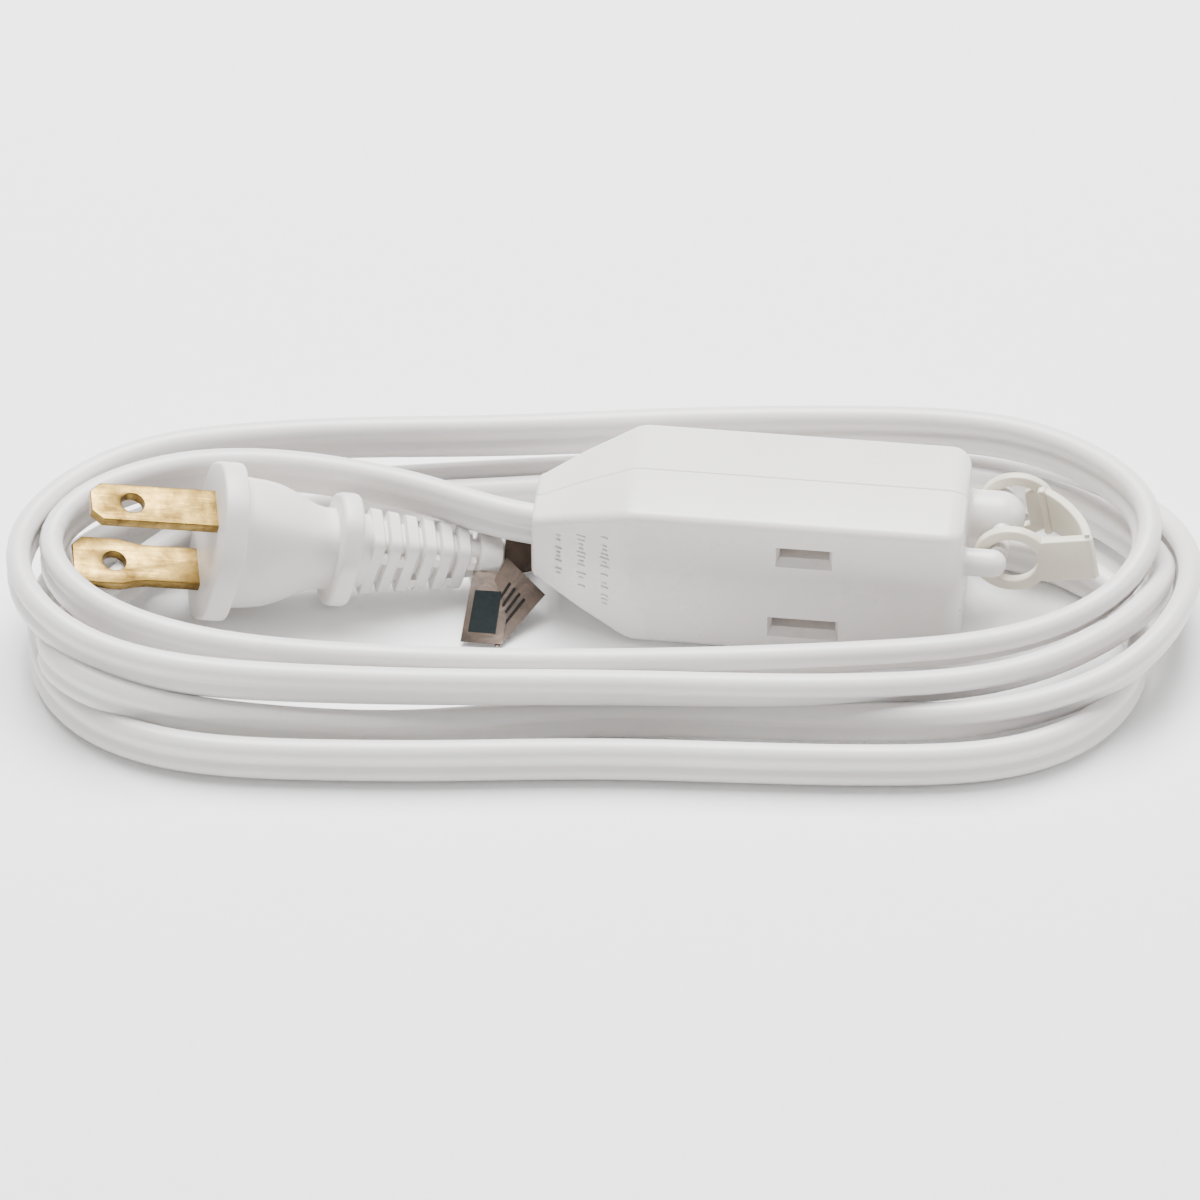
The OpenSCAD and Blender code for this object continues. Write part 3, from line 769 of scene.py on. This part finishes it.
# %% Moulded marks on the nose
random.seed(4)
slope = math.atan2(depth - NOSE_DEPTH, NOSE_L)
marks = []
for along, span in ((0.28, 8.0), (0.52, 10.5), (0.76, 12.5)):
    height = mid_z + span / 2
    while height > mid_z - span / 2:
        stroke = random.choice((0.7, 1.1, 1.4))
        x = nose_x + NOSE_L * along
        y = -(NOSE_DEPTH + (depth - NOSE_DEPTH) * along)
        bar = flat_part([soft_box(stroke, 0.34, 0.15, 3)], 0.34, 0.1)
        turn = Matrix.Rotation(-slope, 4, "Z") @ Matrix.Rotation(math.pi / 2, 4, "X")
        marks.append(moved(bar, Matrix.Translation((x, y, height)) @ turn))
        height -= random.choice((0.75, 0.75, 1.5))


def join_into(piece, meshes):
    """Adds meshes in millimetres to a finished piece."""
    extra = join("extra", meshes)
    whole = bmesh.new()
    whole.from_mesh(piece.data)
    whole.from_mesh(extra.data)
    whole.to_mesh(piece.data)
    whole.free()
    piece.data.set_sharp_from_angle(angle=math.radians(32))
    bpy.data.objects.remove(extra)


join_into(front_half, [lug] + marks)
join_into(back_half, [dome, pin])
dress(front_half, polypropylene)
dress(back_half, polypropylene)
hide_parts("front_shell")
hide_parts("back_shell")
print("marks on the nose:", len(marks))

# %% [markdown]
# ## The hang strap
# The strap is one moulding: an eye and a straight arm in front, a fold, and a bowed arm that comes
# round behind the dome to a second eye.  The front is stamped from its outline, with the edges
# rounded.  The rear arm is a ribbon swept along a curve.  It was drawn level and is tipped up to the
# angle at which it lies.

# %% Strap
STRAP_REST = math.radians(10)
EYE_AT = (1.5, -1.6)
EYE_R, EYE_BORE = 5.3, 3.65
FRONT_Y, BACK_Y = -2.1, 9.1
FOLD_X = 12.2
ARM_DROP = 2.2
RIBBON = 3.5
RIBBON_T = 1.2


def eye_and_arm(arm_end):
    """Outline of an eye with an arm on its right side, as high as the ribbon."""
    top, low = RIBBON - ARM_DROP, -RIBBON - ARM_DROP
    up = math.degrees(math.asin((top - 0.1 - EYE_AT[1]) / EYE_R))
    down = math.degrees(math.asin((low + 0.2 - EYE_AT[1]) / EYE_R))
    ring = arc(EYE_AT, EYE_R, up, 360 + down, 44)
    return ring + [(EYE_AT[0] + 4.0, low), (arm_end, low), (arm_end, top), (EYE_AT[0] + 5.0, top)]


stand_up = Matrix.Rotation(math.pi / 2, 4, "X")
bore = arc(EYE_AT, EYE_BORE, 0, -351, 39)
front_arm = flat_part([eye_and_arm(FOLD_X + 0.4), bore], 1.4, 0.22)
moved(front_arm, Matrix.Translation((0, FRONT_Y, 0)) @ stand_up)
rear_eye = flat_part([arc(EYE_AT, EYE_R, 0, 352, 44), bore], RIBBON_T, 0.2)
moved(rear_eye, Matrix.Translation((0, BACK_Y, 0)) @ stand_up)
print("strap eyes:", 2 * EYE_R, "mm wide with a bore of", 2 * EYE_BORE, "mm")

# %% [markdown]
# ## The rear arm and the fold
# The rear arm is a ribbon swept along a plan curve, and it narrows towards the rear eye.  A raised
# crease crosses it where it bends, and a bead stands on the fold.

# %% Rear arm and fold
REAR_ARM = [
    (12.3, -2.0), (11.6, 0.6), (10.3, 3.2), (8.6, 5.6), (6.9, 7.4), (5.4, 8.6), (4.2, 9.05), (2.8, 9.1),
]
ribbon_rings = []
plan = smooth_line(REAR_ARM, 4)
for i, (x, y) in enumerate(plan):
    x0, y0 = plan[max(i - 1, 0)]
    x1, y1 = plan[min(i + 1, len(plan) - 1)]
    run = Vector((x1 - x0, y1 - y0)).normalized()
    grow = RIBBON if x > 6 else RIBBON - 0.25 * (6 - x)
    ribbon_rings.append([
        (x - run.y * a, y + run.x * a, b - ARM_DROP) for a, b in soft_box(RIBBON_T, 2 * grow, 0.25, 3)
    ])
rear_arm = skin(ribbon_rings)
crease = flat_part([soft_box(1.1, 2 * RIBBON + 0.9, 0.4, 4)], 1.5, 0.25)
moved(crease, Matrix.Translation((5.3, 8.2, -ARM_DROP)) @ stand_up)
bead = [(-RIBBON, 0.45), (-RIBBON + 0.2, 0.66), (RIBBON - 0.2, 0.66), (RIBBON, 0.45)]
bead_place = Matrix.Translation((FOLD_X + 0.15, FRONT_Y, -ARM_DROP))
fold = moved(lathe(bead, 24), bead_place @ Matrix.Rotation(-math.pi / 2, 4, "Y"))

strap_place = Matrix.Translation(PIVOT) @ Matrix.Rotation(-STRAP_REST, 4, "Y")
strap_meshes = [moved(mesh, strap_place) for mesh in (front_arm, rear_eye, rear_arm, crease, fold)]
strap = join("hang_strap_moulding", strap_meshes)
dress(strap, polyethylene, "strap")
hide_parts("hang_strap")
print("strap reaches x =", round(max(v.co.x for v in strap.data.vertices) / MM, 1), "mm")

# %% [markdown]
# ## The plug
# The plug is moulded in place over its blades.  It is drawn in a frame of its own, with x towards the
# blade tips and z across the two blades, and then set down as it lies: blades up and turned towards
# the front.  The finger flange and the collar are stamped shapes with round edges.  The waisted body
# between them is a skin over rounded sections.

# %% Plug body
PLUG_AT = Vector((-82.8, -10.2, 13.3)) * MM
PLUG_TURN = [math.radians(a) for a in (-10.5, -12.4, 194.9)]
plug_place = Matrix.LocRotScale(PLUG_AT, Euler(PLUG_TURN), None)
across_x = Matrix(((0, 0, 1, 0), (1, 0, 0, 0), (0, 1, 0, 0), (0, 0, 0, 1)))
print("plug set down at", [round(v / MM, 1) for v in PLUG_AT], "mm")


def long_hexagon(width, height):
    """Outline of the finger flange: straight sides that lean in to a blunt top and bottom."""
    side, knee, brow = width / 2, height * 0.22, height * 0.475
    lean_in = (side * 0.76, height * 0.345)
    quarter = [(side, 0), (side, knee), lean_in, (side * 0.42, brow), (0, height / 2)]
    right = [(x, -z) for x, z in quarter[::-1]] + quarter[1:]
    return right + [(-x, -z) for x, z in right[1:-1]]


def rounded_outline(outline):
    """The same outline with its corners cut and cut again until they are round."""
    for _ in range(2):
        cut_once = []
        for a, b in zip(outline, outline[1:] + outline[:1]):
            cut_once.append((a[0] * 0.78 + b[0] * 0.22, a[1] * 0.78 + b[1] * 0.22))
            cut_once.append((a[0] * 0.22 + b[0] * 0.78, a[1] * 0.22 + b[1] * 0.78))
        outline = cut_once
    return outline


# %% [markdown]
# ## The plug's moulding
# The flange stands behind the blades.  The body narrows behind it to a waist, swells a little to meet
# the collar, and ends in a short neck that goes into the strain relief.

# %% Plug moulding
FLANGE_T = 3.4
NECK_X = -22.0
flange = flat_part([rounded_outline(long_hexagon(18, 26))], FLANGE_T, 0.55)
moved(flange, Matrix.Translation((-FLANGE_T / 2, 0, 0)) @ across_x)
collar = flat_part([rounded_outline(long_hexagon(13, 18.5))], 3.0, 0.8)
moved(collar, Matrix.Translation((NECK_X + 3.2, 0, 0)) @ across_x)


def oval_section(x, width, height):
    """A closed section between an ellipse, with a power of 2, and a rectangle."""
    ring, steps, power = [], 40, 2.5
    for k in range(steps):
        c, s = math.cos(2 * math.pi * k / steps), math.sin(2 * math.pi * k / steps)
        ring.append((x, width / 2 * math.copysign(abs(c) ** (2 / power), c),
                     height / 2 * math.copysign(abs(s) ** (2 / power), s)))
    return ring


BODY = [
    (-2.6, 14.4, 21.8), (-3.6, 13.9, 21.1), (-5, 13.7, 20.6), (-7, 13.6, 20), (-9, 13.2, 18.9),
    (-11, 12.2, 17.1), (-13, 10.8, 14.7), (-14.5, 9.8, 13.1), (-16, 9.2, 12.2), (-17.4, 9.2, 12.2),
    (-18.2, 9.6, 12.6),
]
body = skin([oval_section(*row) for row in BODY])
NECK = [(-20, 8, 12), (NECK_X, 7.6, 11.6), (NECK_X - 0.3, 7.4, 11.4)]
neck = skin([oval_section(*row) for row in NECK])
plug_body = join("plug_moulding", [flange, body, collar, neck], plug_place, sharp=28)
dress(plug_body, plug_pvc)
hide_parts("plug_body")
print("plug moulding:", len(plug_body.data.polygons), "faces")

# %% [markdown]
# ## The strain relief
# Where the cord leaves the plug it passes through a tapered sleeve.  The sleeve is cut by slots into
# seven plates, and small webs join the plates, some high and some low, so that it bends evenly and
# the cord can't kink.  Each plate is a skin with broken edges over a core that is a plain taper.

# %% Strain relief
RELIEF_END = -41.0
PLATE_PITCH = 2.5
PLATE_T = 1.78
RING_L = 3.2


def relief_height(x):
    """Height of the sleeve at a place along it."""
    return 11.8 + (NECK_X - x) * (7.2 - 11.8) / (NECK_X - RELIEF_END)


def plate(x_start, x_end):
    """One plate of the sleeve, with its edges broken."""
    rows = []
    for x, inset in ((x_start, 0.3), (x_start - 0.18, 0.0), (x_end + 0.18, 0.0), (x_end, 0.3)):
        high = relief_height(x) - 2 * inset
        wide = relief_height(x) * 0.5 + 1.5 - 2 * inset
        rows.append([(x, y, z) for y, z in soft_box(wide, high, 1.5, 5)])
    return skin(rows)


relief_parts = []
for k in range(6):
    x_start = NECK_X - k * PLATE_PITCH
    relief_parts.append(plate(x_start, x_start - PLATE_T))
    gap_middle = x_start - (PLATE_T + PLATE_PITCH) / 2
    high = relief_height(gap_middle)
    wide = high * 0.5 + 1.5
    web_z = (0.2, 0.16, -0.26, 0.2, -0.24, 0.18)[k] * high
    for side in (-1, 1):
        edge_y = side * (wide / 2 - 0.65)
        low = (gap_middle - 0.6, edge_y - 0.5, web_z - 0.8)
        relief_parts.append(block(low, (gap_middle + 0.6, edge_y + 0.5, web_z + 0.8)))
relief_parts.append(plate(RELIEF_END + RING_L, RELIEF_END))
relief_parts.append(skin([
    [(x, y, z) for y, z in soft_box(relief_height(x) * 0.5 - 0.6, relief_height(x) - 2.2, 1.2, 5)]
    for x in (NECK_X + 0.2, RELIEF_END + 1)
]))
relief = join("strain_relief_sleeve", relief_parts, plug_place)
dress(relief, plug_pvc)
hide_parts("strain_relief")
print("strain relief: slots", round(PLATE_PITCH - PLATE_T, 2), "mm wide every", PLATE_PITCH, "mm")

# %% [markdown]
# ## The blades
# Both blades are stamped from 1.5 mm brass strip.  The neutral blade has a wider tip, so that the plug
# fits one way round.  Each has a round hole near its tip and clipped corners.  The press leaves the
# edges slightly round.

# %% Blades
BLADE_L = 17.5
BLADE_W = 6.3
BLADE_T = 1.5
BLADE_ROOT = -9.0
HOLE_X = 11.7
HOLE_R = 1.6


def blade(name, side, tip_w):
    """One blade, side 1 above and side -1 below the plug's axis."""
    clip = 1.5
    half, tip = BLADE_W / 2, tip_w / 2
    lower = [(BLADE_ROOT, -half), (BLADE_L - 10, -half), (BLADE_L - 8.4, -half - (tip - half) * 0.35),
             (BLADE_L - 6.6, -tip), (BLADE_L - clip, -tip), (BLADE_L, -tip + clip)]
    outline = lower + [(x, -y) for x, y in lower[::-1]]
    hole = arc((HOLE_X, 0), HOLE_R, 0, -351, 39)
    sheet = flat_part([outline, hole], BLADE_T, 0.16)
    moved(sheet, Matrix.Translation((0, 0, side * SLOT_GAP / 2)))
    piece = join(name, [sheet], plug_place, sharp=40)
    return dress(piece, blade_brass)


live_blade = blade("live_blade_stamping", 1, BLADE_W)
neutral_blade = blade("neutral_blade_stamping", -1, 7.9)
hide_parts("live_blade")
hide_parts("neutral_blade")
print("blades:", len(live_blade.data.polygons), "and", len(neutral_blade.data.polygons), "faces")

# %% [markdown]
# ## The tag on the cord
# A strip of film is folded over the cord beside the strain relief and hangs forward from it.  Its two
# ends didn't meet squarely, so one shows beside the other.  Each end is a thin curved sheet, and the
# dark patch and the bars are thinner sheets just above it.

# %% Tag
def film_sheet(corners, lift, bend, thickness=0.12, across=(0, 1), down=(0, 1), steps=10):
    """A thin bowed sheet between four corners, or the share of it that across and down give."""
    a, b, c, d = [Vector(p) for p in corners]
    normal = (b - a).cross(d - a).normalized()
    if normal.z < 0:
        normal = -normal
    rings = []
    for i in range(steps + 1):
        v = down[0] + (down[1] - down[0]) * i / steps
        left, right = a.lerp(d, v), b.lerp(c, v)
        row = []
        for j in range(steps + 1):
            u = across[0] + (across[1] - across[0]) * j / steps
            bow = bend * math.sin(math.pi * v) * math.cos(2.2 * u)
            row.append(left.lerp(right, u) + normal * (lift + bow))
        rings.append(row + [p + normal * thickness for p in row[::-1]])
    return skin(rings)


FLAG = [(-47.0, -3.6, 5.4), (-41.6, -3.2, 5.4), (-41.9, -12.9, 0.6), (-47.7, -12.9, 0.6)]
SIDE_FLAG = [(-42.6, -1.6, 6.6), (-36.8, -5.8, 4.0), (-42.6, -13.4, 0.3), (-46.0, -8.6, 2.2)]
WRAP = [(-43.0, 0.4, 8.3), (-39.6, 1.8, 8.2), (-39.2, -1.6, 4.4), (-43.0, -2.8, 4.0)]

tag = join("tag_film", [
    film_sheet(FLAG, 0, 0.25), film_sheet(SIDE_FLAG, -0.1, 0.2), film_sheet(WRAP, 0, 0.3),
])
dress(tag, film)
patch = join("tag_patch", [film_sheet(FLAG, 0.12, 0.25, 0.03, (0.14, 0.8), (0.28, 0.86))])
dress(patch, patch_ink)
bars = []
for share in (0.3, 0.44, 0.58, 0.72):
    bars.append(film_sheet(SIDE_FLAG, 0.02, 0.2, 0.03, (share, share + 0.06), (0.25, 0.75), 6))
tag_bars = join("tag_bars", bars)
dress(tag_bars, bar_ink)
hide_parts("cord_label")
print("tag:", len(tag.data.polygons), "faces")

# %% [markdown]
# ## The parts inside
# The rails, clips, crimps, cores and strands are CAD solids that keep their shape.  They get the
# material of the real part, because they show through the slots.

# %% Materials for the CAD parts
INSIDE = {
    contact_brass: ["live_rail", "neutral_rail", "front_live_clip", "front_neutral_clip",
                    "rear_live_clips", "rear_neutral_clips", "live_crimp", "neutral_crimp"],
    copper: ["tap_live_copper", "tap_neutral_copper", "plug_live_copper", "plug_neutral_copper"],
    cord_pvc: ["tap_live_core", "tap_neutral_core", "plug_live_core", "plug_neutral_core"],
    bridge_resin: ["cord_grip", "blade_bridge"],
}
for material, names in INSIDE.items():
    for name in names:
        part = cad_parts[name]
        part.data.materials.clear()
        part.data.materials.append(material)
print("materials on", sum(len(names) for names in INSIDE.values()), "inner parts")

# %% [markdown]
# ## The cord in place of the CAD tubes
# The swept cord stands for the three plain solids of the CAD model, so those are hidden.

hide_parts("cord_lead", "cord_tail", "cord_coil")

# %% [markdown]
# ## The floor
# The floor is one wide sheet of matt white paper.  It lies a twentieth of a millimetre below the
# object, so that the two never share a face.

# %% Floor
def paper():
    """Matt white paper with a faint fibre."""
    material, tree, surface, place = start("studio_paper", Roughness=0.9, IOR=1.45)
    fibre = add(tree, "ShaderNodeTexNoise", Vector=place.outputs["Object"], Scale=per(3), Detail=4.0)
    tone = two_tone(tree, fibre.outputs[0], 0.2, 0.8, "#fafafa", "#f7f7f7")
    tree.links.new(tone, surface.inputs["Base Color"])
    return material


floor_mesh = bmesh.new()
bmesh.ops.create_grid(floor_mesh, x_segments=1, y_segments=1, size=1500)
floor = join("studio_floor", [moved(floor_mesh, Matrix.Translation((0, 0, -0.05)))])
floor.data.materials.append(paper())
print("floor placed")

# %% [markdown]
# ## Lights
# A wide soft light hangs above and behind.  It is the strong one, and it leaves the fronts of the cord
# and the tap darker than their tops, which is what gives white plastic its shape.  A second fills from
# the front left, a third comes low from the right, and the bright surroundings lift the shadows.

# %% Lights
def soft_light(name, place, aim, size, power):
    """A square soft light that points at a place."""
    data = bpy.data.lights.new(name, "AREA")
    data.size = size
    data.energy = power
    light = bpy.data.objects.new(name, data)
    light.location = place
    light.rotation_euler = (Vector(aim) - Vector(place)).to_track_quat("-Z", "Y").to_euler()
    scene.collection.objects.link(light)


soft_light("overhead", (-0.1, 0.4, 1.0), LOOK_AT, 0.8, 46.0)
soft_light("front_left", (-0.9, -0.9, 0.6), LOOK_AT, 0.7, 3.5)
soft_light("right_rim", (0.9, 0.1, 0.45), LOOK_AT, 0.4, 4.0)
world = bpy.data.worlds.new("bright_room")
world.use_nodes = True
world.node_tree.nodes["Background"].inputs["Color"].default_value = linear("#ffffff")
world.node_tree.nodes["Background"].inputs["Strength"].default_value = 0.38
scene.world = world
